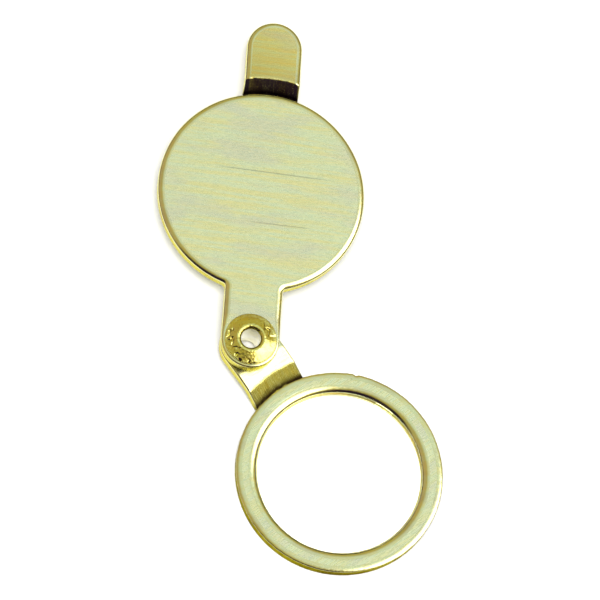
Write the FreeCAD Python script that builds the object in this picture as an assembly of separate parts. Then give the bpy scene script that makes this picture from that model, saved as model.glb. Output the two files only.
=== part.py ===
import FreeCAD, Part
import math
import os

# Riveted brass hand lens: a round cover plate and a lens holder swivel on one hollow rivet.
# Millimetres. The origin is on the pivot axis, halfway through the friction washer between the
# plates. +Z is the pivot axis, towards the cover's front. +Y runs from the pivot to the cover's disc.
# The holder is built closed, under the cover, and then swung out to where it rests.

# Overall sizes
ring_radius = 12.7              # outside of the lens ring; the cover's disc matches it
pivot_gap = 6.35                # ring's edge to the pivot axis
swing_out = 139.3               # holder's turn from closed to where it rests, degrees

# Sheet
plate_thickness = 1.6
edge_roll = 0.42                # rounding that the blanking tool leaves on the front edges
back_edge_break = 0.12
root_radius = 0.5               # corner between the disc and the neck

# Straps
neck_width = 7.1
arm_width = 7.0
tab_width = 6.8
tab_reach = 9.1                 # thumb tab's tip beyond the disc's edge
tab_side_shift = 0.25           # the tab stands this far to the right of the cover's centre line

# Joggles: each strap steps forward from its disc or ring
arm_step = 1.6
tab_step = 1.4
tab_step_run = 1.5
washer_to_step = 0.95           # flat of the arm left between the back washer and the step's back bend
step_bend_radius = 0.7
crease_depth = 0.28             # where the step starts, below the rolled edge's crest
crease_inset = 0.22
step_back_lag = 0.4             # the back of the sheet bends this much further out than the front

# Punched bore, with the lens in its back half on a thin lip
aperture_radius = 10.2
aperture_roll_width = 0.75      # rounding that the punch draws into the front edge
aperture_roll_depth = 0.4
aperture_roll_crest = 1.0       # its radius where it meets the face
aperture_roll_foot = 0.2        # its radius where it meets the bore
lens_lip_width = 0.2
lens_lip_thickness = 0.2
lens_side_clearance = 0.05
lens_bed = 0.02                 # gap between the glass and what holds it, front and back
lens_surface_radius = 40.0      # front face; the back is flat. About three times magnification

# Snap ring in front of the lens's rim
snap_ring_thickness = 0.28
snap_ring_height = 0.35         # radial
snap_groove_depth = 0.2
snap_clearance = 0.03           # ring in its groove
bore_land = 0.1                 # straight bore left between the groove and the rolled edge
snap_gap_angle = 14.0           # opening in the split ring, degrees
snap_gap_direction = 200.0      # where that opening points, in the closed holder

# Pivot
rivet_bore_radius = 1.2
rivet_wall = 0.4
rivet_fit = 0.02                # rivet in the cover, in the washers
pivot_running_clearance = 0.05  # rivet in the arm, radial, and each side of the arm
friction_washer_thickness = 0.2
friction_washer_radius = 3.2
back_washer_thickness = 0.4
back_washer_radius = 3.1
clinch_radius = 3.2             # spread front end of the rivet
clinch_edge_height = 0.3
crown_radius = 2.25             # raised roll round the mouth of the hole
crown_height = 0.7
rivet_head_radius = 2.6         # factory head, at the back
rivet_head_height = 0.5
rivet_mouth_round = 0.3
rivet_head_round = 0.7          # roundings below are shares of the wall they sit on
clinch_edge_round = 0.6
crown_foot_round = 1.0
crown_top_round = 0.8
thin_edge_break = 0.2           # washers and snap ring, share of their thickness

# Modelling allowances
cut_overshoot = 1.0             # cutters run this far past what they cut
place_tolerance = 1e-3
point_tolerance = 1e-7          # points closer than this are one point

# Places that follow from the sizes
disc_radius = ring_radius
reach = ring_radius + pivot_gap
arm_step_run = pivot_gap - back_washer_radius - washer_to_step - step_back_lag
barrel_radius = rivet_bore_radius + rivet_wall
cover_back = friction_washer_thickness / 2.0
cover_front = cover_back + plate_thickness
arm_front = -cover_back - pivot_running_clearance
arm_back = arm_front - plate_thickness
ring_front = arm_front - arm_step
ring_back = ring_front - plate_thickness
washer_front = arm_back - pivot_running_clearance
washer_back = washer_front - back_washer_thickness
lens_radius = aperture_radius - lens_side_clearance
snap_outer = aperture_radius + snap_groove_depth - snap_clearance
snap_inner = snap_outer - snap_ring_height


def face_rise(radius):
    """How far the lens's front face stands above its rim, at a smaller radius."""
    at_rim = math.sqrt(lens_surface_radius ** 2 - lens_radius ** 2)
    at_radius = math.sqrt(lens_surface_radius ** 2 - radius ** 2)
    return at_radius - at_rim


# Heights in the bore, from the front edge down to the lip. The lens takes the room that is left.
roll_slope = math.atan2(aperture_roll_depth, aperture_roll_width)
roll_foot_setback = aperture_roll_foot / math.tan((math.pi / 2.0 + roll_slope) / 2.0)
groove_top = ring_front - aperture_roll_depth - roll_foot_setback - bore_land
snap_front = groove_top - snap_clearance
snap_back = snap_front - snap_ring_thickness
rim_front = snap_back - lens_bed - face_rise(snap_inner)
lip_front = ring_back + lens_lip_thickness
rim_back = lip_front + lens_bed

Z_AXIS = FreeCAD.Vector(0, 0, 1)
ORIGIN = FreeCAD.Vector(0, 0, 0)


def turned(corners):
    """Solid of revolution about Z. Each corner is (radius, height) or (radius, height, rounding)."""
    edges = []
    ends = []
    count = len(corners)
    for i in range(count):
        here = FreeCAD.Vector(corners[i][0], 0, corners[i][1])
        rounding = corners[i][2] if len(corners[i]) > 2 else 0.0
        if rounding == 0.0:
            ends.append((here, here))
            continue
        before = FreeCAD.Vector(corners[i - 1][0], 0, corners[i - 1][1]) - here
        after = FreeCAD.Vector(corners[(i + 1) % count][0], 0, corners[(i + 1) % count][1]) - here
        before.normalize()
        after.normalize()
        half_angle = before.getAngle(after) / 2.0
        setback = rounding / math.tan(half_angle)
        bisector = before + after
        bisector.normalize()
        middle = here + bisector * (rounding / math.sin(half_angle) - rounding)
        start = here + before * setback
        end = here + after * setback
        edges.append(Part.Arc(start, middle, end).toShape())
        ends.append((start, end))
    for i in range(count):
        start = ends[i][1]
        end = ends[(i + 1) % count][0]
        if (end - start).Length > point_tolerance:
            edges.append(Part.LineSegment(start, end).toShape())
    wire = Part.Wire(Part.__sortEdges__(edges))
    return Part.Face(wire).revolve(ORIGIN, Z_AXIS, 360)


def drilled(solid, radius, low, high):
    """Solid with a hole of this radius on the Z axis, open past both heights."""
    start = FreeCAD.Vector(0, 0, low - cut_overshoot)
    return solid.cut(Part.makeCylinder(radius, high - low + 2.0 * cut_overshoot, start))


def stadium(width, start, end, low, high):
    """Bar along Y with a full-round far end whose tip is at end, and a square near end."""
    half = width / 2.0
    centre = end - math.copysign(half, end - start)
    bar = Part.makeBox(width, abs(centre - start), high - low,
                       FreeCAD.Vector(-half, min(start, centre), low))
    tip = Part.makeCylinder(half, high - low, FreeCAD.Vector(0, centre, low))
    return bar.fuse(tip).removeSplitter()


def stepped_sheet(circle_radius, front, run, step, outer_radius):
    """Sheet round a disc or ring, which climbs by step over run and then lies flat."""
    back = front - plate_thickness
    inner = circle_radius - crease_inset
    corners = [
        (inner, back),
        (circle_radius + step_back_lag, back, step_bend_radius),
        (circle_radius + step_back_lag + run, back + step, step_bend_radius),
        (outer_radius, back + step),
        (outer_radius, front + step),
        (circle_radius + run, front + step, step_bend_radius),
        (inner, front - crease_depth),
    ]
    return turned(corners)


def strap(circle_radius, front, run, step, width, tip):
    """Parallel-sided strap along +Y from the edge of a circle at the origin, stepped near the circle."""
    sheet = stepped_sheet(circle_radius, front, run, step, tip + width)
    low = front - plate_thickness - cut_overshoot
    outline = stadium(width, 0.0, tip, low, front + step + cut_overshoot)
    return sheet.common(outline)


def rolled_edges(solid, height):
    """Front edges of an undrilled flat plate rounded as a blanking tool leaves them."""
    chosen = []
    for edge in solid.Edges:
        box = edge.BoundBox
        if abs(box.ZMin - height) < place_tolerance and abs(box.ZMax - height) < place_tolerance:
            chosen.append(edge)
    return solid.makeFillet(edge_roll, chosen)


def cover_plate():
    """Disc, neck and thumb tab in one blank. The neck is flush with the disc; the tab steps forward."""
    disc = Part.makeCylinder(disc_radius, plate_thickness, FreeCAD.Vector(0, reach, cover_back))
    neck = stadium(neck_width, reach, -neck_width / 2.0, cover_back, cover_front)
    blank = disc.fuse(neck).removeSplitter()
    corner_height = reach - math.sqrt(disc_radius ** 2 - (neck_width / 2.0) ** 2)
    corners = []
    for edge in blank.Edges:
        box = edge.BoundBox
        if box.ZLength > plate_thickness / 2.0 and abs(box.YMin - corner_height) < place_tolerance:
            if abs(abs(box.XMin) - neck_width / 2.0) < place_tolerance:
                corners.append(edge)
    blank = blank.makeFillet(root_radius, corners)
    blank = rolled_edges(blank, cover_front)
    blank = drilled(blank, barrel_radius + rivet_fit, cover_back, cover_front)
    tab = strap(disc_radius, cover_front, tab_step_run, tab_step, tab_width, disc_radius + tab_reach)
    tab.translate(FreeCAD.Vector(tab_side_shift, reach, 0))
    return blank.fuse(tab).removeSplitter()


def swung(solid):
    """Holder piece, built closed, turned out about the pivot to where it rests."""
    solid.rotate(ORIGIN, Z_AXIS, -swing_out)
    return solid


def lens_holder():
    """Ring that the lens lies in, and the arm that steps forward to the pivot behind the cover's neck."""
    groove_bottom = snap_back - snap_clearance
    groove_radius = aperture_radius + snap_groove_depth
    lip_radius = aperture_radius - lens_lip_width
    ring = turned([
        (aperture_radius + aperture_roll_width, ring_front, aperture_roll_crest),
        (aperture_radius, ring_front - aperture_roll_depth, aperture_roll_foot),
        (aperture_radius, groove_top),
        (groove_radius, groove_top),
        (groove_radius, groove_bottom),
        (aperture_radius, groove_bottom),
        (aperture_radius, lip_front),
        (lip_radius, lip_front),
        (lip_radius, ring_back),
        (ring_radius, ring_back, back_edge_break),
        (ring_radius, ring_front, edge_roll),
    ])
    arm = strap(ring_radius, ring_front, arm_step_run, arm_step, arm_width, reach + arm_width / 2.0)
    arm.rotate(ORIGIN, Z_AXIS, 180)
    holder = ring.fuse(arm)
    holder.translate(FreeCAD.Vector(0, reach, 0))
    holder = drilled(holder, barrel_radius + pivot_running_clearance, arm_back, arm_front)
    return swung(holder.removeSplitter())


def lens():
    """Plano-convex glass. Its flat back bears on the lip."""
    half_way = lens_radius / 2.0
    centre_back = FreeCAD.Vector(0, 0, rim_back)
    edge_back = FreeCAD.Vector(lens_radius, 0, rim_back)
    edge_front = FreeCAD.Vector(lens_radius, 0, rim_front)
    on_face = FreeCAD.Vector(half_way, 0, rim_front + face_rise(half_way))
    crown = FreeCAD.Vector(0, 0, rim_front + face_rise(0.0))
    outline = Part.Wire([
        Part.LineSegment(centre_back, edge_back).toShape(),
        Part.LineSegment(edge_back, edge_front).toShape(),
        Part.Arc(edge_front, on_face, crown).toShape(),
        Part.LineSegment(crown, centre_back).toShape(),
    ])
    glass = Part.Face(outline).revolve(ORIGIN, Z_AXIS, 360)
    glass.translate(FreeCAD.Vector(0, reach, 0))
    return swung(glass)


def lens_snap_ring():
    """Split spring ring in the groove in front of the lens's rim."""
    edge_break = snap_ring_thickness * thin_edge_break
    ring = turned([
        (snap_inner, snap_back, edge_break),
        (snap_outer, snap_back),
        (snap_outer, snap_front),
        (snap_inner, snap_front, edge_break),
    ])
    gap = Part.makeCylinder(ring_radius, snap_ring_thickness + 2.0 * cut_overshoot,
                            FreeCAD.Vector(0, 0, snap_back - cut_overshoot), Z_AXIS, snap_gap_angle)
    gap.rotate(ORIGIN, Z_AXIS, snap_gap_direction - snap_gap_angle / 2.0)
    ring = ring.cut(gap)
    ring.translate(FreeCAD.Vector(0, reach, 0))
    return swung(ring)


def pivot_rivet():
    """Hollow rivet: factory head behind the back washer, front end spread over the cover."""
    head_back = washer_back - rivet_head_height
    crown_top = cover_front + crown_height
    return turned([
        (rivet_bore_radius, head_back, rivet_mouth_round),
        (rivet_head_radius, head_back, rivet_head_height * rivet_head_round),
        (rivet_head_radius, washer_back),
        (barrel_radius, washer_back),
        (barrel_radius, cover_front),
        (clinch_radius, cover_front),
        (clinch_radius, cover_front + clinch_edge_height, clinch_edge_height * clinch_edge_round),
        (crown_radius, cover_front + clinch_edge_height, clinch_edge_height * crown_foot_round),
        (crown_radius, crown_top, (crown_height - clinch_edge_height) * crown_top_round),
        (rivet_bore_radius, crown_top, rivet_mouth_round),
    ])


def washer(outer_radius, back, front):
    """Flat washer on the rivet's barrel."""
    edge_break = (front - back) * thin_edge_break
    hole = barrel_radius + rivet_fit
    return turned([
        (hole, back),
        (outer_radius, back, edge_break),
        (outer_radius, front, edge_break),
        (hole, front),
    ])


parts = {
    "cover_plate": cover_plate(),
    "lens_holder": lens_holder(),
    "lens": lens(),
    "lens_snap_ring": lens_snap_ring(),
    "pivot_rivet": pivot_rivet(),
    "pivot_friction_washer": washer(friction_washer_radius, -cover_back, cover_back),
    "pivot_back_washer": washer(back_washer_radius, washer_back, washer_front),
}

os.makedirs("parts", exist_ok=True)
for name, shape in parts.items():
    if not shape.isValid():
        raise ValueError(name + " is not a valid shape")
    if len(shape.Solids) != 1:
        raise ValueError(name + " is not one solid")
    shape.Solids[0].exportStep("parts/" + name + ".step")
    box = shape.BoundBox
    print("%-22s volume %9.2f  x %7.2f..%7.2f  y %7.2f..%7.2f  z %6.2f..%6.2f" % (
        name, shape.Volume, box.XMin, box.XMax, box.YMin, box.YMax, box.ZMin, box.ZMax))
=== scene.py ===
import logging
import math
from dataclasses import dataclass
from enum import Enum
from typing import Callable, Sequence

import bmesh
import bpy
import numpy as np
from mathutils import Matrix, Vector, noise
from mathutils.geometry import delaunay_2d_cdt


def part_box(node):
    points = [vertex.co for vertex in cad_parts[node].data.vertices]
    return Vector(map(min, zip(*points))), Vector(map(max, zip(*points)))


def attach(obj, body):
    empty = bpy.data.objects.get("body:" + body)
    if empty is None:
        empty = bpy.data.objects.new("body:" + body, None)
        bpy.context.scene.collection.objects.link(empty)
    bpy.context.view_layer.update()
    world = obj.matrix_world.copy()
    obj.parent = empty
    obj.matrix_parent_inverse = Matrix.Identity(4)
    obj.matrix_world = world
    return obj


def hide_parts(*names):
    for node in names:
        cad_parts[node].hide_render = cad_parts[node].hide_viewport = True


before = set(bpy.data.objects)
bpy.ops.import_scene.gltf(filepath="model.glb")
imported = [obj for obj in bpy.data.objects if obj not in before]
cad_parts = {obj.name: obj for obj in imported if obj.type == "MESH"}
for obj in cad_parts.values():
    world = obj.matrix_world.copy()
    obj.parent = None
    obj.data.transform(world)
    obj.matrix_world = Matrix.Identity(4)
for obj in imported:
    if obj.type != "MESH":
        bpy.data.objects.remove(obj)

# A folding hand lens in stamped sheet brass: a cover plate and a lens holder on one hollow rivet.
# Metres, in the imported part's frame. The pivot axis is +Z through the origin; the front faces +Z.

log = logging.getLogger("hand_lens")

MM = 0.001
# Mesh layer of painted shade: how much each point's colour darkens in the crease where a strap leaves its
# disc or ring.
CREASE_SHADE_LAYER = "dark_marks_and_crease_shade"

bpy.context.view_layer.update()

Rgb = tuple[float, float, float]
Heights = Callable[[np.ndarray], np.ndarray]


class Grain(Enum):
    """How a finish's fine texture is stretched: repeats per millimetre along X, Y and Z."""

    BRUSHED = (1.1, 7.0, 7.0)
    SHEARED = (7.0, 7.0, 0.8)
    DRAWN = (6.0, 0.7, 0.7)
    TURNED = (4.0, 4.0, 4.0)


class Skin(Enum):
    """Which part of a stamped piece a face belongs to. The value is its material's place in the list."""

    FACE = 0
    ROLL = 1
    WALL = 2
    BEND = 3
    TORN = 4
    TAB = 5


# ---------------------------------------------------------------- finishes


class Nodes:
    """Short way to add and join the nodes of one material or world."""

    def __init__(self, tree: bpy.types.NodeTree) -> None:
        """Starts from an empty tree.

        Args:
            tree: the node tree to fill.
        """
        self.tree = tree
        tree.nodes.clear()

    def add(self, kind: str, inputs: dict | None = None, **settings: object) -> bpy.types.Node:
        """Adds one node.

        Args:
            kind: the node type's name without its leading "ShaderNode".
            inputs: values or sockets, by input name or number.
            settings: the node's own properties.

        Returns:
            The new node.
        """
        node = self.tree.nodes.new("ShaderNode" + kind)
        for name, value in settings.items():
            setattr(node, name, value)
        for key, value in (inputs or {}).items():
            if isinstance(value, bpy.types.NodeSocket):
                self.tree.links.new(value, node.inputs[key])
            else:
                node.inputs[key].default_value = value
        return node

    def stretched_noise(self, where: bpy.types.NodeSocket, scale: Sequence[float], detail: float,
                        turn: float = 0.0) -> bpy.types.NodeSocket:
        """Noise that is longer one way than the other.

        Args:
            where: coordinates in metres.
            scale: repeats per millimetre along X, Y and Z, after the turn.
            detail: octaves.
            turn: direction of the X axis in the face, in radians.

        Returns:
            The noise's value, about 0.5 on average.
        """
        turned = self.add("Mapping", {"Vector": where, "Rotation": (0.0, 0.0, -turn)})
        per_metre = [s / MM for s in scale]
        sized = self.add("VectorMath", {0: turned.outputs[0], 1: per_metre}, operation="MULTIPLY")
        made = self.add("TexNoise", {"Vector": sized.outputs[0], "Scale": 1.0, "Detail": detail})
        return made.outputs[0]

    def spread(self, value: bpy.types.NodeSocket, low: float, high: float, to_low: float,
               to_high: float) -> bpy.types.NodeSocket:
        """Maps low..high smoothly to to_low..to_high.

        Args:
            value: what is mapped.
            low: value that becomes to_low.
            high: value that becomes to_high.
            to_low: result at low and below.
            to_high: result at high and above.

        Returns:
            The mapped value.
        """
        node = self.add("MapRange", {0: value, 1: low, 2: high, 3: to_low, 4: to_high},
                        interpolation_type="SMOOTHSTEP")
        return node.outputs[0]

    def blend(self, share: bpy.types.NodeSocket, first: object, second: object) -> bpy.types.NodeSocket:
        """Mixes two colours.

        Args:
            share: how much of the second.
            first: a colour or a socket.
            second: a colour or a socket.

        Returns:
            The mixed colour.
        """
        node = self.add("Mix", data_type="RGBA")
        for index, value in ((0, share), (6, first), (7, second)):
            if isinstance(value, bpy.types.NodeSocket):
                self.tree.links.new(value, node.inputs[index])
            else:
                node.inputs[index].default_value = (*value, 1.0)
        return node.outputs[2]


def new_material(name: str) -> tuple[bpy.types.Material, Nodes, bpy.types.NodeSocket]:
    """Starts a node material.

    Args:
        name: the material's name.

    Returns:
        The material, its nodes and the coordinates in metres.
    """
    made = bpy.data.materials.new(name)
    made.use_nodes = True
    nodes = Nodes(made.node_tree)
    return made, nodes, nodes.add("TexCoord").outputs["Object"]


@dataclass(frozen=True)
class Scratch:
    """Thin straight scratch on a face."""

    centre: tuple[float, float]
    length: float
    turn: float
    width: float = 0.13 * MM

    def strength(self, nodes: Nodes, place: bpy.types.NodeSocket) -> bpy.types.NodeSocket:
        """How deep the scratch is: one along its middle, fading to its sides and ends.

        Args:
            nodes: the material's nodes.
            place: coordinates in metres.

        Returns:
            The strength.
        """
        moved = nodes.add("VectorMath", {0: place, 1: (*self.centre, 0.0)}, operation="SUBTRACT")
        turned = nodes.add("Mapping", {"Vector": moved.outputs[0], "Rotation": (0.0, 0.0, -self.turn)})
        parts = nodes.add("SeparateXYZ", {0: turned.outputs[0]}).outputs
        along = nodes.add("Math", {0: parts["X"]}, operation="ABSOLUTE").outputs[0]
        across = nodes.add("Math", {0: parts["Y"]}, operation="ABSOLUTE").outputs[0]
        ends = nodes.spread(along, self.length * 0.25, self.length * 0.5, 1.0, 0.0)
        sides = nodes.spread(across, 0.0, self.width, 1.0, 0.0)
        return nodes.add("Math", {0: ends, 1: sides}, operation="MULTIPLY").outputs[0]


@dataclass(frozen=True)
class BrassFinish:
    """Brass with its own tone, grain and wear, and painted shade where the crease layer darkens it."""

    name: str
    tone: Rgb
    rich: Rgb
    tarnish: Rgb
    grain: Grain
    roughness: tuple[float, float]
    relief: float
    brushing: float = 0.0
    pits: float = 0.0
    scratches: tuple[Scratch, ...] = ()
    # Dark colour for pits and scratches, and for the painted shade in the strap creases.
    dark_marks_and_crease_shade: Rgb = (0.055, 0.032, 0.018)
    grazing: Rgb = (1.0, 1.0, 1.0)

    def material(self) -> bpy.types.Material:
        """Builds the node material.

        Returns:
            The new material.
        """
        made, nodes, place = new_material(self.name)
        along, across, upward = self.grain.value
        fine = nodes.stretched_noise(place, (along, across, upward), 3.0, self.brushing)
        broad = nodes.stretched_noise(place, (along * 0.1, across * 0.32, upward * 0.32), 4.0, self.brushing)
        patches = nodes.stretched_noise(place, (0.13, 0.42, 0.4), 3.0, self.brushing)
        colour = nodes.blend(nodes.spread(broad, 0.38, 0.66, 0.0, 1.0), self.tone, self.rich)
        colour = nodes.blend(nodes.spread(patches, 0.46, 0.70, 0.0, 0.8), colour, self.tarnish)
        dull = nodes.spread(fine, 0.3, 0.7, *self.roughness)
        height = nodes.add("Math", {0: fine, 1: broad}, operation="ADD").outputs[0]
        if self.pits > 0.0:
            specks = nodes.stretched_noise(place, (5.0, 5.0, 5.0), 2.0)
            hollow = nodes.spread(specks, 0.56, 0.70, 0.0, self.pits)
            height = nodes.add("Math", {0: height, 1: hollow}, operation="SUBTRACT").outputs[0]
            colour = nodes.blend(nodes.spread(specks, 0.60, 0.72, 0.0, 0.5), colour, self.dark_marks_and_crease_shade)
        for scratch in self.scratches:
            cut = scratch.strength(nodes, place)
            height = nodes.add("Math", {0: height, 1: cut}, operation="SUBTRACT").outputs[0]
            shade = nodes.add("Math", {0: cut, 1: 0.40}, operation="MULTIPLY").outputs[0]
            colour = nodes.blend(shade, colour, self.dark_marks_and_crease_shade)
        # Painted shade: the crease layer darkens the colour where a strap leaves its disc or ring.
        crease_shade = nodes.add("Attribute", attribute_name=CREASE_SHADE_LAYER).outputs["Fac"]
        colour = nodes.blend(crease_shade, colour, self.dark_marks_and_crease_shade)
        bump = nodes.add("Bump", {"Height": height, "Strength": 1.0, "Distance": self.relief})
        shader = nodes.add("BsdfPrincipled", {
            "Base Color": colour, "Roughness": dull, "Normal": bump.outputs[0], "Metallic": 1.0,
            "Specular Tint": (*self.grazing, 1.0)})
        nodes.add("OutputMaterial", {"Surface": shader.outputs[0]})
        return made


@dataclass(frozen=True)
class GlassFinish:
    """Clear or ground optical glass that lets lamps through to what lies under it."""

    name: str
    tint: Rgb
    roughness: tuple[float, float]
    index: float = 1.52

    def material(self) -> bpy.types.Material:
        """Builds the node material.

        Returns:
            The new material.
        """
        made, nodes, place = new_material(self.name)
        smears = nodes.stretched_noise(place, (0.2, 0.35, 0.3), 3.0)
        glass = nodes.add("BsdfPrincipled", {
            "Base Color": (*self.tint, 1.0), "Transmission Weight": 1.0, "IOR": self.index,
            "Roughness": nodes.spread(smears, 0.45, 0.75, *self.roughness)})
        clear = nodes.add("BsdfTransparent", {"Color": (*self.tint, 1.0)})
        shadow = nodes.add("LightPath").outputs["Is Shadow Ray"]
        both = nodes.add("MixShader", {0: shadow, 1: glass.outputs[0], 2: clear.outputs[0]})
        nodes.add("OutputMaterial", {"Surface": both.outputs[0]})
        return made


@dataclass(frozen=True)
class PaperFinish:
    """Matt white board under the object."""

    name: str = "white_board"
    white: Rgb = (0.93, 0.93, 0.92)
    shade: Rgb = (0.90, 0.90, 0.89)

    def material(self) -> bpy.types.Material:
        """Builds the node material.

        Returns:
            The new material.
        """
        made, nodes, place = new_material(self.name)
        fibres = nodes.stretched_noise(place, (0.4, 0.4, 0.4), 4.0)
        shader = nodes.add("BsdfPrincipled", {
            "Base Color": nodes.blend(nodes.spread(fibres, 0.4, 0.7, 0.0, 1.0), self.white, self.shade),
            "Roughness": 0.9, "Specular IOR Level": 0.1})
        nodes.add("OutputMaterial", {"Surface": shader.outputs[0]})
        return made


# ---------------------------------------------------------------- mesh making


def ripple(x: float, y: float, z: float, seed: float) -> float:
    """Smooth noise from -1 to 1, the same on every run.

    Args:
        x: place along X, in wavelengths.
        y: place along Y, in wavelengths.
        z: place along Z, in wavelengths.
        seed: picks an independent pattern.

    Returns:
        The noise's value.
    """
    return noise.noise(Vector((x + seed * 17.3, y - seed * 9.1, z + seed * 4.7)))


def ripples(x: np.ndarray, y: np.ndarray | float, wavelength: float, seed: float) -> np.ndarray:
    """The same noise at many places in a plane.

    Args:
        x: places along X.
        y: places along Y.
        wavelength: distance from crest to crest.
        seed: picks an independent pattern.

    Returns:
        The noise's values.
    """
    places = zip(x, np.broadcast_to(y, len(x)))
    return np.array([ripple(a / wavelength, b / wavelength, 0.0, seed) for a, b in places])


def ramp(x: np.ndarray, rounding: float) -> np.ndarray:
    """Zero below 0 and x above it, with a rounded corner.

    Args:
        x: where it is wanted.
        rounding: half width of the corner.

    Returns:
        The ramp's values.
    """
    corner = (x + rounding) ** 2 / (4.0 * rounding)
    return np.where(x < -rounding, 0.0, np.where(x > rounding, x, corner))


def round_plan(angles: np.ndarray, radius: float | np.ndarray,
               centre: Sequence[float] = (0.0, 0.0)) -> np.ndarray:
    """Points at angles round a centre, one row each."""
    return np.stack([centre[0] + radius * np.cos(angles), centre[1] + radius * np.sin(angles)], 1)


def arc(centre: Sequence[float], radius: float, start: float, end: float, spacing: float) -> np.ndarray:
    """Points along an arc in a plane, without its last point.

    Args:
        centre: the arc's centre.
        radius: its radius.
        start: first angle, in radians.
        end: last angle, in radians.
        spacing: greatest distance between points.

    Returns:
        The points, one row each.
    """
    count = max(4, math.ceil(abs(end - start) * radius / spacing))
    angles = np.linspace(start, end, count, endpoint=False)
    return round_plan(angles, radius, centre)


def straight(start: Sequence[float], end: Sequence[float], spacing: float) -> np.ndarray:
    """Points along a line, without its last point.

    Args:
        start: where it starts.
        end: where it ends.
        spacing: greatest distance between points.

    Returns:
        The points, one row each.
    """
    a, b = np.array(start, float), np.array(end, float)
    count = max(1, math.ceil(np.linalg.norm(b - a) / spacing))
    return a + (b - a) * np.linspace(0.0, 1.0, count, endpoint=False)[:, None]


def rounded_section(corners: Sequence[tuple], spacing: float) -> np.ndarray:
    """Closed outline through corners, each (radius, height) or (radius, height, rounding).

    Args:
        corners: the corners in order.
        spacing: greatest distance between points.

    Returns:
        The points, one row each.
    """
    starts, ends, curves = [], [], []
    for i, corner in enumerate(corners):
        here = np.array(corner[:2], float)
        rounding = corner[2] if len(corner) > 2 else 0.0
        if rounding == 0.0:
            starts.append(here)
            ends.append(here)
            curves.append(here[None])
            continue
        before = np.array(corners[i - 1][:2], float) - here
        after = np.array(corners[(i + 1) % len(corners)][:2], float) - here
        before /= np.linalg.norm(before)
        after /= np.linalg.norm(after)
        half = math.acos(float(np.clip(before @ after, -1.0, 1.0))) / 2.0
        centre = here + (before + after) / np.linalg.norm(before + after) * rounding / math.sin(half)
        first = here + before * rounding / math.tan(half) - centre
        last = here + after * rounding / math.tan(half) - centre
        turn = math.atan2(first[0] * last[1] - first[1] * last[0], first @ last)
        angle = math.atan2(first[1], first[0])
        points = arc(centre, rounding, angle, angle + turn, spacing / 2.0)
        starts.append(centre + first)
        ends.append(centre + last)
        curves.append(np.vstack([points, centre + last]))
    outline = []
    for i, curve in enumerate(curves):
        outline.append(curve[:-1])
        outline.append(straight(ends[i], starts[(i + 1) % len(curves)], spacing))
    return np.vstack(outline)


def strap_outline(x: float, half: float, root: float, centre: float, spacing: float,
                  c: float = 1.0 * MM) -> np.ndarray:
    """Outline of a strap along +Y with a round far end, counter-clockwise.

    Args:
        x: the strap's middle.
        half: half its width.
        root: where it starts. Its corners there are rounded.
        centre: centre of its round end.
        spacing: greatest distance between points.
        c: radius of the corners where it starts.

    Returns:
        The points, one row each.
    """
    return np.vstack([
        arc((x - half + c, root + c), c, math.pi, 1.5 * math.pi, spacing),
        straight((x - half + c, root), (x + half - c, root), spacing),
        arc((x + half - c, root + c), c, -0.5 * math.pi, 0.0, spacing),
        straight((x + half, root + c), (x + half, centre), spacing),
        arc((x, centre), half, 0.0, math.pi, spacing),
        straight((x - half, centre), (x - half, root + c), spacing)])


def inset(loop: np.ndarray, distance: float | np.ndarray) -> np.ndarray:
    """Moves a counter-clockwise loop inwards.

    Args:
        loop: its points.
        distance: how far, for all points or each.

    Returns:
        The moved points.
    """
    tangent = np.roll(loop, -1, 0) - np.roll(loop, 1, 0)
    tangent /= np.linalg.norm(tangent, axis=1)[:, None]
    outward = np.stack([tangent[:, 1], -tangent[:, 0]], 1)
    return loop - outward * np.broadcast_to(distance, len(loop))[:, None]


def inside(points: np.ndarray, loop: np.ndarray) -> np.ndarray:
    """Which points lie inside a loop.

    Args:
        points: the points.
        loop: the loop's points.

    Returns:
        One truth value for each point.
    """
    found = np.zeros(len(points), bool)
    for a, b in zip(loop, np.roll(loop, -1, 0)):
        crosses = (a[1] > points[:, 1]) != (b[1] > points[:, 1])
        if crosses.any():
            at = a[0] + (points[:, 1] - a[1]) / (b[1] - a[1] + 1e-18) * (b[0] - a[0])
            found ^= crosses & (points[:, 0] < at)
    return found


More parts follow.
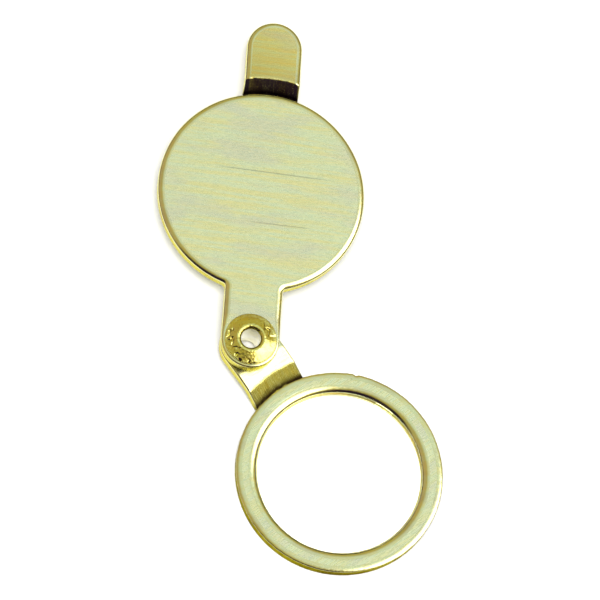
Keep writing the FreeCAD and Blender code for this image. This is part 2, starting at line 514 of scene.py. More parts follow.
class Skinned:
    """Collects the points and faces of one piece, each face with its skin."""

    def __init__(self) -> None:
        """Starts empty."""
        self.points: list[np.ndarray] = []
        self.count = 0
        self.faces: list[tuple[int, ...]] = []
        self.skins: list[int] = []

    def loop(self, plan: np.ndarray, heights: np.ndarray) -> np.ndarray:
        """Adds a row of points.

        Args:
            plan: their places in the plane.
            heights: their heights.

        Returns:
            Their numbers.
        """
        numbers = np.arange(self.count, self.count + len(plan))
        self.points.append(np.column_stack([plan, np.broadcast_to(heights, len(plan))]))
        self.count += len(plan)
        return numbers

    def band(self, low: np.ndarray, high: np.ndarray, skin: Skin) -> None:
        """Joins two rows of points that have the same length, each closed on itself.

        Args:
            low: the first row's numbers.
            high: the second row's numbers.
            skin: what the faces are.
        """
        for i in range(len(low)):
            j = (i + 1) % len(low)
            self.faces.append((int(low[i]), int(low[j]), int(high[j]), int(high[i])))
            self.skins.append(skin.value)

    def cap(self, rims: Sequence[np.ndarray], surface: Heights, spacing: float, skin: Callable,
            up: bool) -> None:
        """Fills the flat between an outer rim and any holes with an even net.

        Args:
            rims: numbers of the outer rim's points, then of each hole's.
            surface: gives the height of new points.
            spacing: distance between new points.
            skin: gives the skin of faces from their centres.
            up: whether the faces look up.
        """
        all_points = np.vstack(self.points)
        edges, plan, numbers = [], [], []
        for rim in rims:
            first = len(numbers)
            numbers.extend(int(n) for n in rim)
            plan.extend(all_points[rim, :2])
            edges.extend((first + i, first + (i + 1) % len(rim)) for i in range(len(rim)))
        outer = all_points[rims[0], :2]
        holes = [all_points[rim, :2] for rim in rims[1:]]
        low, high = outer.min(0), outer.max(0)
        across, upward = (np.arange(low[k], high[k], spacing) for k in (0, 1))
        net = np.stack(np.meshgrid(across, upward), -1).reshape(-1, 2)
        net[:, 0] += (np.round((net[:, 1] - low[1]) / spacing) % 2) * spacing / 2.0
        keep = inside(net, outer)
        for hole in holes:
            keep &= ~inside(net, hole)
        net = net[keep]
        rim_plan = np.array(plan)
        near = np.array([np.min(((rim_plan - p) ** 2).sum(1)) for p in net]) if len(net) else np.zeros(0)
        net = net[near > (0.55 * spacing) ** 2]
        numbers.extend(int(n) for n in self.loop(net, surface(net)))
        plan = np.vstack([rim_plan, net])
        shift = plan.mean(0)
        made = delaunay_2d_cdt([Vector((p - shift) / MM) for p in plan], edges, [], 0, 1e-7)
        source = [numbers[o[0]] for o in made[3]]
        centres = np.array([np.mean([made[0][k] for k in f], 0) for f in made[2]]) * MM + shift
        keep = inside(centres, outer)
        for hole in holes:
            keep &= ~inside(centres, hole)
        for face, centre, kept in zip(made[2], centres, keep):
            if kept:
                corners = tuple(source[k] for k in face)
                self.faces.append(corners if up else corners[::-1])
                self.skins.append(skin(centre).value)

    def object(self, name: str, materials: Sequence[bpy.types.Material]) -> bpy.types.Object:
        """Makes the Blender object.

        Args:
            name: the piece's name.
            materials: one for each skin.

        Returns:
            The object, in the scene, with its faces looking outwards.
        """
        mesh = bpy.data.meshes.new(name)
        mesh.from_pydata(np.vstack(self.points).tolist(), [], self.faces)
        mesh.polygons.foreach_set("material_index", self.skins)
        work = bmesh.new()
        work.from_mesh(mesh)
        bmesh.ops.recalc_face_normals(work, faces=work.faces)
        work.to_mesh(mesh)
        work.free()
        for material in materials:
            mesh.materials.append(material)
        return in_scene(name, mesh)


def in_scene(name: str, data: bpy.types.ID) -> bpy.types.Object:
    """Puts a new object with this data in the scene.

    Args:
        name: the object's name.
        data: its mesh, light or camera.

    Returns:
        The object.
    """
    made = bpy.data.objects.new(name, data)
    bpy.context.scene.collection.objects.link(made)
    return made


def smooth_shaded(piece: bpy.types.Object, crease: float = 30.0) -> bpy.types.Object:
    """Shades a piece smooth, but keeps its true edges sharp.

    Args:
        piece: the object.
        crease: edges that turn by more than this many degrees stay sharp.

    Returns:
        The same object.
    """
    piece.data.shade_smooth()
    piece.data.set_sharp_from_angle(angle=math.radians(crease))
    return piece


def joined(name: str, body: bpy.types.Object, addition: bpy.types.Object) -> bpy.types.Object:
    """One closed skin round two pieces of the same blank.

    Args:
        name: the new piece's name.
        body: the main piece, which goes away.
        addition: what is joined to it, which goes away too.

    Returns:
        The new object.
    """
    union = body.modifiers.new("join", "BOOLEAN")
    union.operation = "UNION"
    union.solver = "EXACT"
    union.object = addition
    seen = body.evaluated_get(bpy.context.evaluated_depsgraph_get())
    mesh = bpy.data.meshes.new_from_object(seen)
    mesh.name = name
    made = in_scene(name, mesh)
    bpy.data.objects.remove(body)
    bpy.data.objects.remove(addition)
    return made


def paint_crease_shade(piece: bpy.types.Object, strap: Callable, centre: Sequence[float], radius: float,
                  reach: float, wander: float, blotch_length: float = 0.7 * MM) -> None:
    """Paints shade into the crease where a strap leaves its disc or ring, as a darker colour held in a mesh
    layer.

    Args:
        piece: the finished piece.
        strap: tells which places, from the centre, lie on the strap.
        centre: centre of the disc or ring.
        radius: the crease's radius.
        reach: how far the painted shade spreads up the strap.
        wander: how uneven its edge is, as a share of its reach.
        blotch_length: distance from one blotch of the painted shade's uneven edge to the next.
    """
    count = len(piece.data.vertices)
    spots = np.zeros(count * 3)
    piece.data.vertices.foreach_get("co", spots)
    spots = spots.reshape(-1, 3)
    x, y = spots[:, 0] - centre[0], spots[:, 1] - centre[1]
    mottle = ripples(x, y, blotch_length, 12.0)
    beyond = (np.hypot(x, y) - radius) / reach + wander * mottle
    share = np.clip(1.2 - beyond, 0.0, 1.0) ** 2 * np.clip(1.0 + 8.0 * beyond, 0.0, 1.0) * strap(x, y)
    layer = piece.data.attributes.new(CREASE_SHADE_LAYER, "FLOAT", "POINT")
    layer.data.foreach_set("value", share.astype(np.float32))


@dataclass(frozen=True)
class StampedEdge:
    """What a press tool does to the cut edge of sheet metal, from its front to its back."""

    roll_width: float = 0.76 * MM
    roll_depth: float = 0.38 * MM
    unevenness: float = 0.10
    ragged: float = 0.0
    roll_steps: int = 12
    wall: Skin = Skin.WALL
    land_share: float = 0.45
    wall_steps: int = 12
    torn_relief: float = 0.030 * MM
    torn_taper: float = 0.035 * MM
    back_break: float = 0.10 * MM
    sway_length: float = 5.0 * MM
    nibble_length: float = 0.45 * MM
    grit_across: float = 0.16 * MM
    grit_along: float = 0.4 * MM
    land: float = 0.04 * MM

    def rows(self, skin: Skinned, loop: np.ndarray, front: Heights, back: Heights, seed: float,
             share: np.ndarray | float = 1.0) -> tuple[np.ndarray, np.ndarray]:
        """Adds the wall and the rolled front edge along a loop.

        Args:
            skin: collects the points and faces.
            loop: the cut outline, counter-clockwise.
            front: height of the front face.
            back: height of the back face.
            seed: picks the pattern of the torn zone.
            share: how much of the full roll there is, for all points or each.

        Returns:
            The numbers of the last row at the back and at the front.
        """
        sway = ripples(loop[:, 0], loop[:, 1], self.sway_length, seed)
        nibble = ripples(loop[:, 0], loop[:, 1], self.nibble_length, seed + 2.0)
        depth = self.roll_depth * share * (1.0 + self.unevenness * sway)
        width = self.roll_width * share
        ragged = self.ragged * (0.5 + 0.5 * nibble)
        first = inset(loop, self.back_break)
        back_row = skin.loop(first, back(first))
        last = back_row
        for step in range(self.wall_steps + 1):
            up = step / self.wall_steps
            low = back(loop) + self.back_break
            height = low + (front(loop) - depth - low) * up
            torn = max(0.0, 1.0 - self.land_share - up) / (1.0 - self.land_share)
            mottle = np.array([ripple(x / self.grit_across, y / self.grit_across, z / self.grit_along,
                                    seed + 1.0) for (x, y), z in zip(loop, height)])
            inward = self.torn_taper * torn + self.torn_relief * min(1.0, 3.0 * torn) * (0.5 + 0.5 * mottle)
            inward = inward + ragged * min(1.0, 4.0 * (1.0 - torn) * up)
            row = skin.loop(inset(loop, inward), height)
            skin.band(last, row, self.wall)
            last = row
        for step in range(1, self.roll_steps + 1):
            angle = math.pi / 2.0 * step / self.roll_steps
            plan = inset(loop, width * (1.0 - math.cos(angle)) + ragged * math.cos(angle))
            row = skin.loop(plan, front(plan) - depth * (1.0 - math.sin(angle)))
            skin.band(last, row, Skin.ROLL)
            last = row
        plan = inset(loop, width + self.land)
        row = skin.loop(plan, front(plan))
        skin.band(last, row, Skin.ROLL)
        return back_row, row


@dataclass(frozen=True)
class Step:
    """Height of a strap as it leaves a disc or ring: low, then a slope, then high."""

    low: float
    high: float
    begins: float
    ends: float
    low_round: float
    high_round: float

    def at(self, distance: np.ndarray) -> np.ndarray:
        """Height of the strap.

        Args:
            distance: from the disc's or ring's centre.

        Returns:
            The heights.
        """
        slope = (self.high - self.low) / (self.ends - self.begins)
        return self.low + slope * (ramp(distance - self.begins, self.low_round)
                                   - ramp(distance - self.ends, self.high_round))


@dataclass(frozen=True)
class Joggle:
    """How a strap steps forward as it leaves its disc or ring, and hides its root inside it."""

    run: float
    crest_round: float
    wander: float
    wander_length: float
    seed: float
    crease_inset: float = 0.22 * MM
    crease_depth: float = 0.28 * MM
    crease_round: float = 0.05 * MM
    dive_slope: float = 0.5
    back_lag: float = 0.4 * MM
    back_round: float = 0.4 * MM
    clear: float = 0.004 * MM
    lift_slope: float = 0.4
    steady: float = 0.5 * MM
    drawn_past: float = 0.1 * MM

    def front(self, x: np.ndarray, distance: np.ndarray, radius: float, face: float,
              high: float) -> np.ndarray:
        """Height of the strap's front.

        Args:
            x: places across the strap.
            distance: from the centre of the disc or ring.
            radius: of the disc or ring.
            face: height of its front face.
            high: height of the strap's flat.

        Returns:
            The heights.
        """
        step = Step(face - self.crease_depth, high, radius - self.crease_inset, radius + self.run,
                    self.crease_round, self.crest_round)
        wander = self.wander * ripples(x, 0.0, self.wander_length, self.seed)
        return step.at(distance + wander * (distance > radius + self.steady))

    def dive(self, distance: np.ndarray, radius: float) -> np.ndarray:
        """How far the strap's front sinks inside the disc or ring."""
        return ramp(radius - self.crease_inset - distance, self.crease_round) * self.dive_slope

    def back(self, distance: np.ndarray, radius: float, low: float, high: float) -> np.ndarray:
        """Height of the strap's back, which goes from low to high."""
        begins = radius + self.back_lag
        return Step(low, high, begins, begins + self.run, self.back_round, self.back_round).at(distance)

    def lift(self, distance: np.ndarray, radius: float) -> np.ndarray:
        """How far the strap's back stands off the back face inside the disc or ring."""
        return self.clear + ramp(radius - self.steady - distance, self.crease_round) * self.lift_slope


# ---------------------------------------------------------------- the pieces


@dataclass(frozen=True)
class PackedSizes:
    """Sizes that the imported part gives, in metres."""

    neck_half: float
    radius: float
    tab_tip: float
    cover_back: float
    tab_front: float
    reach: float
    swing: float
    ring_centre: tuple[float, float]
    ring_back: float
    arm_front: float

    @classmethod
    def read(cls) -> "PackedSizes":
        """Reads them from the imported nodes' boxes.

        Returns:
            The sizes.
        """
        cover_low, cover_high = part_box("cover_plate")
        holder_low, holder_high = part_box("lens_holder")
        lens_low, lens_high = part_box("lens")
        centre = (lens_low + lens_high) / 2.0
        return cls(
            neck_half=-cover_low.y,
            radius=(cover_high.x - cover_low.x) / 2.0,
            tab_tip=cover_high.y,
            cover_back=cover_low.z,
            tab_front=cover_high.z,
            reach=math.hypot(centre.x, centre.y),
            swing=math.atan2(centre.y, centre.x),
            ring_centre=(centre.x, centre.y),
            ring_back=holder_low.z,
            arm_front=holder_high.z)


@dataclass
class CoverPlate:
    """Disc, neck and thumb tab, stamped from one blank."""

    sizes: PackedSizes
    materials: list[bpy.types.Material]
    sheet: float = 1.6 * MM
    root_radius: float = 0.5 * MM
    rivet_hole: float = 1.62 * MM
    tab_half: float = 3.4 * MM
    tab_shift: float = 0.25 * MM
    tab_root: float = 1.6 * MM
    tab_droop: float = 0.55 * MM
    back_droop: float = 0.9
    tab_bow: float = 0.05 * MM
    tab_bow_run: float = 2.0 * MM
    neck_end_roll: float = 0.42
    neck_roll_from: float = 0.5 * MM
    neck_roll_run: float = 2.5 * MM
    waviness: float = 0.012 * MM
    wavelength: float = 9.0 * MM
    spacing: float = 0.13 * MM
    face_net: float = 0.5 * MM
    back_net: float = 0.9 * MM
    tab_net: float = 0.18 * MM
    tab_back_net: float = 0.25 * MM
    edge: StampedEdge = StampedEdge()
    tab_edge: StampedEdge = StampedEdge(roll_width=0.62 * MM, roll_depth=0.34 * MM)
    joggle: Joggle = Joggle(1.5 * MM, 0.16 * MM, 0.07 * MM, 0.9 * MM, 13.0)

    def outline(self) -> np.ndarray:
        """Outline of the disc and the neck, counter-clockwise, from the neck's right side.

        Returns:
            The points, one row each.
        """
        s, r = self.sizes, self.root_radius
        half = s.neck_half
        across = half + r
        up = math.sqrt((s.radius + r) ** 2 - across ** 2)
        root_y = s.reach - up
        meet = math.atan2(-up, across)
        right = arc((across, root_y), r, math.pi, meet + math.pi, self.spacing / 2.0)
        left = arc((-across, root_y), r, -meet, 0.0, self.spacing / 2.0)
        disc = arc((0.0, s.reach), s.radius, meet, math.pi - meet, self.spacing)
        end = arc((0.0, 0.0), half, -math.pi, 0.0, self.spacing)
        return np.vstack([
            straight((half, 0.0), (half, root_y), self.spacing), right, disc, left,
            straight((-half, root_y), (-half, 0.0), self.spacing), end])

    def tab_outline(self) -> np.ndarray:
        """Outline of the tab's strap, counter-clockwise, with its square end inside the disc.

        Returns:
            The points, one row each.
        """
        s = self.sizes
        root = s.reach + s.radius - self.tab_root
        return strap_outline(self.tab_shift, self.tab_half, root, s.tab_tip - self.tab_half, self.spacing)

    def build(self) -> bpy.types.Object:
        """Builds the cover plate.

        Returns:
            The finished piece, on its body.
        """
        s = self.sizes
        back, front = s.cover_back, s.cover_back + self.sheet
        hole = arc((0.0, 0.0), self.rivet_hole, 0.0, 2.0 * math.pi, self.spacing)

        def face(plan: np.ndarray) -> np.ndarray:
            """Front face, which is never quite flat."""
            return front + self.waviness * (ripples(plan[:, 0], plan[:, 1], self.wavelength, 3.0) - 1.0)

        def under(plan: np.ndarray) -> np.ndarray:
            """Back face."""
            return np.full(len(plan), back)

        blank = Skinned()
        outline = self.outline()
        past_rivet = np.clip((outline[:, 1] - self.neck_roll_from) / self.neck_roll_run, 0.0, 1.0)
        share = self.neck_end_roll + (1.0 - self.neck_end_roll) * past_rivet
        back_row, front_row = self.edge.rows(blank, outline, face, under, 1.0, share)
        low = blank.loop(hole, back)
        high = blank.loop(hole, face(hole))
        blank.band(high, low, Skin.WALL)
        blank.cap([front_row, high], face, self.face_net, lambda c: Skin.FACE, True)
        blank.cap([back_row, low], under, self.back_net, lambda c: Skin.FACE, False)
        body = blank.object("cover_blank", self.materials)

        back_high = back + (s.tab_front - front)
        tip = s.tab_tip - s.reach
        start = s.radius + self.joggle.run

        def far(plan: np.ndarray) -> np.ndarray:
            """Distance from the disc's centre."""
            return np.hypot(plan[:, 0], plan[:, 1] - s.reach)

        def droop(distance: np.ndarray) -> np.ndarray:
            """How far the tongue falls back towards its tip."""
            past = np.clip((distance - start) / (tip - start), 0.0, 1.0)
            return self.tab_droop * (1.0 - (1.0 - past) ** 2)

        def tongue(plan: np.ndarray) -> np.ndarray:
            """Front of the strap. Inside the disc it dives below the face.

            Args:
                plan: places in the plane.

            Returns:
                Their heights.
            """
            d = far(plan)
            bow = self.tab_bow * ((plan[:, 0] - self.tab_shift) / self.tab_half) ** 2
            bowed = np.clip((d - s.radius) / self.tab_bow_run, 0.0, 1.0)
            height = self.joggle.front(plan[:, 0], d, s.radius, front, s.tab_front)
            return height - droop(d) - self.joggle.dive(d, s.radius) - bow * bowed

        def tongue_back(plan: np.ndarray) -> np.ndarray:
            """Back of the strap. Inside the disc it lifts off the back face.

            Args:
                plan: places in the plane.

            Returns:
                Their heights.
            """
            d = far(plan)
            height = self.joggle.back(d, s.radius, back, back_high)
            return height - self.back_droop * droop(d) + self.joggle.lift(d, s.radius)

        strap = Skinned()
        back_row, front_row = self.tab_edge.rows(strap, self.tab_outline(), tongue, tongue_back, 2.0)

        def strap_skin(centre: np.ndarray) -> Skin:
            """The slope is drawn metal; the rest is brushed face."""
            distance = math.hypot(centre[0], centre[1] - s.reach)
            return Skin.BEND if distance < start + self.joggle.drawn_past else Skin.TAB

        strap.cap([front_row], tongue, self.tab_net, strap_skin, True)
        strap.cap([back_row], tongue_back, self.tab_back_net, strap_skin, False)
        tab = strap.object("tab_strap", self.materials)
        made = smooth_shaded(joined("cover_plate_sheet", body, tab))
        # Painted shade in the crease where the tab leaves the disc.
        paint_crease_shade(made, lambda x, y: (y > 0.0) & (np.abs(x) < self.tab_half + 0.4 * MM),
                      centre=(0.0, s.reach), radius=s.radius - 0.02 * MM, reach=0.9 * MM, wander=0.04)
        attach(made, "cover")
        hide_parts("cover_plate")
        return made


@dataclass
class LensHolder:
    """Punched ring, with the arm that steps forward to the pivot."""

    sizes: PackedSizes
    materials: list[bpy.types.Material]
    sheet: float = 1.6 * MM
    bore: float = 10.2 * MM
    bore_roll_width: float = 0.90 * MM
    bore_roll_depth: float = 0.40 * MM
    lip_width: float = 0.2 * MM
    lip_height: float = 0.2 * MM
    groove_depth: float = 0.2 * MM
    groove_low: float = 0.64 * MM
    groove_high: float = 0.98 * MM
    roll_steps: int = 12
    chatter: float = 0.08
    chatter_count: float = 8.0
    arm_half: float = 3.5 * MM
    arm_root: float = 1.5 * MM
    arm_lean: float = 0.35 * MM
    lean_short_of_pivot: float = 2.2 * MM
    lean_round: float = 0.08
    back_lean: float = 0.15 * MM
    back_short_of_pivot: float = 3.2 * MM
    nick_at: float = math.radians(44.0)
    nick_depth: float = 0.16 * MM
    nick_half: float = 0.22 * MM
    pivot_hole: float = 1.65 * MM
    waviness: float = 0.010 * MM
    wavelength: float = 7.0 * MM
    segments: int = 640
    face_rows: int = 4
    spacing: float = 0.14 * MM
    arm_net: float = 0.18 * MM
    arm_back_net: float = 0.3 * MM
    edge: StampedEdge = StampedEdge(
        roll_width=0.75 * MM, roll_depth=0.17 * MM, unevenness=0.30, ragged=0.07 * MM, wall=Skin.TORN,
        torn_relief=0.09 * MM)
    arm_edge: StampedEdge = StampedEdge(roll_width=0.24 * MM, roll_depth=0.20 * MM)
    joggle: Joggle = Joggle(1.9 * MM, 0.20 * MM, 0.05 * MM, 0.7 * MM, 14.0)

    def ring(self) -> bpy.types.Object:
        """Builds the ring about the origin.

        Returns:
            The ring, at the holder's height.
        """
        back = self.sizes.ring_back
        front = back + self.sheet
        angles = np.linspace(0.0, 2.0 * math.pi, self.segments, endpoint=False)
        skin = Skinned()
        rows: list[tuple[np.ndarray, Skin]] = []

        def row(radius: float | np.ndarray, height: float | np.ndarray, kind: Skin) -> None:
            """Adds one circle of points."""
            rows.append((skin.loop(round_plan(angles, radius), height), kind))

        radius = self.sizes.radius
        dent = self.nick_depth * np.exp(-((angles - self.nick_at) * radius / self.nick_half) ** 2)

        def flat_front(plan: np.ndarray) -> np.ndarray:
            """Front face, which is never quite flat."""
            return front + self.waviness * (ripples(plan[:, 0], plan[:, 1], self.wavelength, 5.0) - 1.0)

        def flat_back(plan: np.ndarray) -> np.ndarray:
            """Back face."""
            return np.full(len(plan), back)

        rim = round_plan(angles, radius - dent)
        back_row, front_row = self.edge.rows(skin, rim, flat_front, flat_back, 4.0)
        lip = self.bore - self.lip_width
        groove = self.bore + self.groove_depth
        row(lip, back, Skin.FACE)
        for at, rise in ((lip, self.lip_height), (self.bore, self.lip_height),
                         (self.bore, self.groove_low), (groove, self.groove_low),
                         (groove, self.groove_high), (self.bore, self.groove_high)):
            row(at, back + rise, Skin.WALL)
        count = self.chatter_count
        mottle = np.array([ripple(count * math.cos(a), count * math.sin(a), 0.0, 6.0) for a in angles])
        depth = self.bore_roll_depth * (1.0 + self.chatter * mottle)
        for step in range(self.roll_steps + 1):
            angle = math.pi / 2.0 * step / self.roll_steps
            row(self.bore + self.bore_roll_width * (1.0 - math.cos(angle)),
                front - depth * (1.0 - math.sin(angle)) - self.waviness, Skin.ROLL)
        flat_from = self.bore + self.bore_roll_width + self.edge.land
        flat_to = radius - self.edge.roll_width - self.edge.land
        for share in np.linspace(0.0, 1.0, self.face_rows, endpoint=False):
            plan = round_plan(angles, flat_from + (flat_to - flat_from) * share)
            rows.append((skin.loop(plan, flat_front(plan)), Skin.FACE))
        rows.append((front_row, Skin.FACE))
        skin.band(back_row, rows[0][0], Skin.FACE)
        for (low, _), (high, kind) in zip(rows, rows[1:]):
            skin.band(low, high, kind)
        return skin.object("holder_ring", self.materials)

    def arm(self) -> bpy.types.Object:
        """Builds the arm along +Y from the ring at the origin.

        Returns:
            The arm, at the holder's height.
        """
        s, joggle = self.sizes, self.joggle
        ring_front = s.ring_back + self.sheet
        outline = strap_outline(0.0, self.arm_half, s.radius - self.arm_root, s.reach, self.spacing)
        flat_end = s.reach - self.lean_short_of_pivot
        back_end = s.reach - self.back_short_of_pivot
        flat_start = s.radius + joggle.run

        def front(plan: np.ndarray) -> np.ndarray:
            """Front of the arm. It leans towards the ring between the rivet and the slope.

            Args:
                plan: places in the plane.

            Returns:
                Their heights.
            """
            d = np.hypot(plan[:, 0], plan[:, 1])
            lean = self.arm_lean * ramp((flat_end - d) / (flat_end - flat_start), self.lean_round)
            leaning = np.clip((d - s.radius) / joggle.run, 0.0, 1.0)
            height = joggle.front(plan[:, 0], d, s.radius, ring_front, s.arm_front)
            return height - np.minimum(lean, self.arm_lean) * leaning - joggle.dive(d, s.radius)

        def back(plan: np.ndarray) -> np.ndarray:
            """Back of the arm. Inside the ring it lifts off the back face.

            Args:
                plan: places in the plane.

            Returns:
                Their heights.
            """
            d = np.hypot(plan[:, 0], plan[:, 1])
            lean = self.back_lean * np.clip((back_end - d) / (back_end - flat_start), 0.0, 1.0)
            lean = lean * np.clip((d - s.radius - joggle.back_lag) / joggle.run, 0.0, 1.0)
            height = joggle.back(d, s.radius, s.ring_back, s.arm_front - self.sheet)
            return height - lean + joggle.lift(d, s.radius)

        def arm_skin(centre: np.ndarray) -> Skin:
            """The slope is drawn metal; the rest is brushed face."""
            return Skin.BEND if math.hypot(*centre) < flat_start + joggle.drawn_past else Skin.FACE

        skin = Skinned()
        back_row, front_row = self.arm_edge.rows(skin, outline, front, back, 7.0)
        hole = arc((0.0, s.reach), self.pivot_hole, 0.0, 2.0 * math.pi, self.spacing)
        low, high = skin.loop(hole, back(hole)), skin.loop(hole, front(hole))
        skin.band(high, low, Skin.WALL)
        skin.cap([front_row, high], front, self.arm_net, arm_skin, True)
        skin.cap([back_row, low], back, self.arm_back_net, arm_skin, False)
        return skin.object("holder_arm", self.materials)

    def build(self) -> bpy.types.Object:
        """Builds the holder and swings it out to where it rests.

        Returns:
            The finished piece, on its body.
        """
        made = joined("lens_holder_sheet", self.ring(), self.arm())
        # Painted shade in the crease where the arm leaves the ring.
        paint_crease_shade(made, lambda x, y: (y > 0.0) & (np.abs(x) < self.arm_half + 0.2 * MM),
                      centre=(0.0, 0.0), radius=self.sizes.radius - 0.04 * MM, reach=0.90 * MM, wander=0.11)
        turn = Matrix.Rotation(self.sizes.swing + math.pi / 2.0, 4, "Z")
        made.data.transform(Matrix.Translation((*self.sizes.ring_centre, 0.0)) @ turn)
        smooth_shaded(made)
        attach(made, "lens_arm")
        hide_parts("lens_holder")
        return made


@dataclass
class LensGlass:
    """Plano-convex glass with a ground rim."""

    sizes: PackedSizes
    clear: bpy.types.Material
    ground: bpy.types.Material
    surface_radius: float = 40.0 * MM
    bevel: float = 0.06 * MM
    segments: int = 256
    rings: int = 48

    def build(self) -> bpy.types.Object:
        """Builds the lens inside its packed box.

        Returns:
            The finished piece, on its body.
        """
        low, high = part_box("lens")
        radius = (high.x - low.x) / 2.0
        rise = self.surface_radius - math.sqrt(self.surface_radius ** 2 - radius ** 2)
        rim = high.z - rise
        face = [(radius - self.bevel) * k / self.rings for k in range(1, self.rings + 1)]
        section = [(r, low.z, 0) for r in face]
        section.append((radius, low.z + self.bevel, 1))
        section.append((radius, rim - self.bevel, 1))
        drop = math.sqrt(self.surface_radius ** 2 - radius ** 2)
        section.extend((r, rim + math.sqrt(self.surface_radius ** 2 - r * r) - drop, r >= face[-1])
                       for r in reversed(face))
        angles = np.linspace(0.0, 2.0 * math.pi, self.segments, endpoint=False)
        centre = self.sizes.ring_centre
        skin = Skinned()
        rows = []
        for r, z, ground in section:
            rows.append((skin.loop(round_plan(angles, r, centre), z), Skin.ROLL if ground else Skin.FACE))
        for (first, _), (second, kind) in zip(rows, rows[1:]):
            skin.band(first, second, kind)
        for row, height in ((rows[0][0], low.z), (rows[-1][0], high.z)):
            tip = int(skin.loop(np.array([centre]), height)[0])
            for i in range(len(row)):
                skin.faces.append((int(row[i]), int(row[(i + 1) % len(row)]), tip))
                skin.skins.append(Skin.FACE.value)
        made = smooth_shaded(skin.object("lens_glass_disc", [self.clear, self.ground]))
        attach(made, "lens_arm")
        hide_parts("lens")
        return made


@dataclass
class SnapRing:
    """Split spring ring that holds the glass on its lip."""

    sizes: PackedSizes
    material: bpy.types.Material
    outer: float = 10.37 * MM
    height: float = 0.35 * MM
    rounding: float = 0.08 * MM
    spacing: float = 0.06 * MM
    gap: float = math.radians(14.0)
    gap_at: float = math.radians(200.0 - 139.3)
    segments: int = 420

    def build(self) -> bpy.types.Object:
        """Builds the ring in its groove, with two closed ends.

        Returns:
            The finished piece, on its body.
        """
        low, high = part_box("lens_snap_ring")
        inner = self.outer - self.height
        section = rounded_section([
            (inner, low.z, self.rounding), (self.outer, low.z, self.rounding),
            (self.outer, high.z, self.rounding), (inner, high.z, self.rounding)], self.spacing)
        start = self.gap_at + self.gap / 2.0
        angles = np.linspace(start, start + 2.0 * math.pi - self.gap, self.segments)
        cx, cy = self.sizes.ring_centre
        skin = Skinned()
        rows = []
        for angle in angles:
            plan = np.stack([cx + section[:, 0] * math.cos(angle), cy + section[:, 0] * math.sin(angle)], 1)
            rows.append(skin.loop(plan, section[:, 1]))
        for first, second in zip(rows, rows[1:]):
            skin.band(first, second, Skin.FACE)
        for end in (rows[0], rows[-1]):
            skin.faces.append(tuple(int(n) for n in end))
            skin.skins.append(Skin.FACE.value)
        made = smooth_shaded(skin.object("snap_ring_wire", [self.material]))
        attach(made, "lens_arm")
        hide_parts("lens_snap_ring")
        return made


@dataclass(frozen=True)
class ToolMark:
    """Dent that the setting tool left in the rivet's front. Angles are in degrees."""

    angle: float
    radius: float
    length: float
    width: float
    depth: float
    twist: float = 0.0

    def depth_at(self, x: np.ndarray, y: np.ndarray) -> np.ndarray:
        """How deep the dent is at places about the pivot.

        Args:
            x: places along X.
            y: places along Y.

        Returns:
            The depths.
        """
        a, t = math.radians(self.angle), math.radians(self.angle + self.twist)
        dx, dy = x - self.radius * math.cos(a), y - self.radius * math.sin(a)
        along = (dx * math.cos(t) + dy * math.sin(t)) / self.length
        across = (-dx * math.sin(t) + dy * math.cos(t)) / self.width
        return self.depth * np.exp(-along ** 2 - across ** 2)


